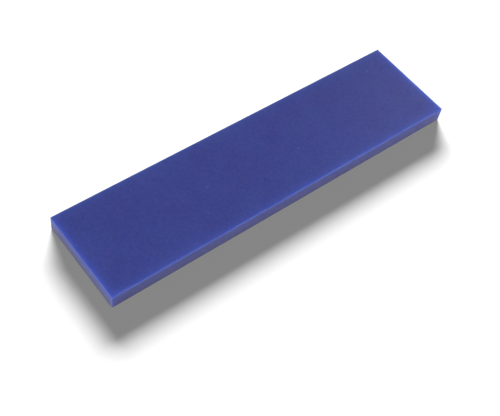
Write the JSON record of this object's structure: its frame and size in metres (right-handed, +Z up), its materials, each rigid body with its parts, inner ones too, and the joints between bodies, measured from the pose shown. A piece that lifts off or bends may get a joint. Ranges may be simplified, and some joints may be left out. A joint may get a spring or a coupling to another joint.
{
  "type": "squeegee applicator",
  "caption": "Flat rectangular polyurethane squeegee applicator blade, cut square on all sides, for pressing down vinyl graphics and films by hand or in a holder.",
  "frame": {"origin": "centre of the underside, which rests on the surface", "axes": "+X along the blade's length, -Y out of the long working edge, +Z up through the thickness"},
  "size_m": [0.1524, 0.0382, 0.0063],
  "materials": {
    "polyurethane": "satin, slightly translucent royal blue cast polyurethane, with matt knife-cut sides that glow lighter at their upper edge"
  },
  "bodies": {
    "root": {"squeegee_blade": "polyurethane"}
  },
  "joints": []
}
